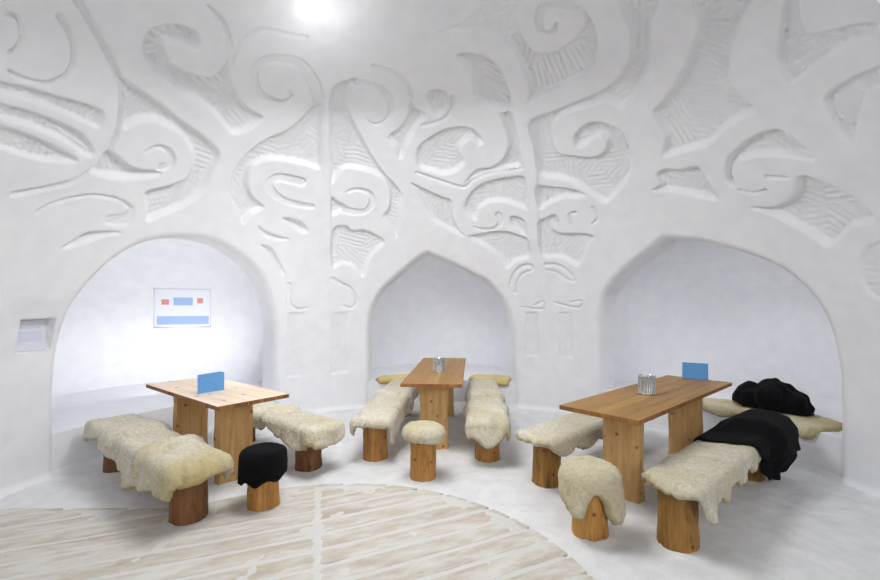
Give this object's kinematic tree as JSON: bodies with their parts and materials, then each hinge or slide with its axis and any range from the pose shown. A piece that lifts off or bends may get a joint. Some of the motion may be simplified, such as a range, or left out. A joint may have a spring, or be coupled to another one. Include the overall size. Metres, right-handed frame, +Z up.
{
  "type": "igloo dining hall half",
  "caption": "Round igloo dining hall of carved snow, cut open at its middle, with pointed niches, a timber deck, tables, log benches, stools and sheepskins.",
  "frame": {"origin": "centre of the round hall on the ground, at the underside of the snow floor", "axes": "+Z up, +Y from the hall's centre towards the middle niche, +X to the right as seen from the open side"},
  "size_m": [10.7676, 6.8398, 4.86],
  "materials": {
    "snow": "matte, carved packed snow",
    "deck_wood": "matte, frosted boards",
    "table_wood": "satin, oiled boards",
    "leg_wood": "matte, peeled split logs",
    "log_wood": "matte, peeled logs",
    "sheepskin": "long cream wool",
    "black_fleece": "black wool",
    "blue_card": "matte",
    "steel": "ribbed, brushed",
    "printed_board": "matte"
  },
  "bodies": {
    "root": {"snow_floor": "snow", "end_pier_left": "snow", "pillar_left": "snow", "pillar_right": "snow", "end_pier_right": "snow", "niche_left": "snow", "niche_mid": "snow", "niche_right": "snow", "seat_left": "snow", "seat_mid": "snow", "seat_right": "snow", "vault_left": "snow", "vault_mid": "snow", "vault_right": "snow", "vault_crown": "snow", "deck_left": "deck_wood", "deck_right": "deck_wood", "table_left_top": "table_wood", "table_left_legs": "leg_wood", "table_mid_top": "table_wood", "table_mid_legs": "leg_wood", "table_right_top": "table_wood", "table_right_legs": "leg_wood", "benches_left": "leg_wood", "benches_mid": "leg_wood", "benches_right": "leg_wood", "bench_logs_left": "log_wood", "bench_logs_mid": "log_wood", "bench_logs_right": "log_wood", "fleeces_left": "sheepskin", "fleeces_mid": "sheepskin", "fleeces_right": "sheepskin", "black_blanket": "black_fleece", "stool_left": "log_wood", "stool_mid": "log_wood", "stool_right": "log_wood", "stool_cover_left": "black_fleece", "stool_cover_mid": "sheepskin", "stool_cover_right": "sheepskin", "niche_fleeces": "sheepskin", "black_bundle": "black_fleece", "menu_cards": "blue_card", "tins": "steel", "poster": "printed_board", "notice": "printed_board"}
  },
  "joints": []
}
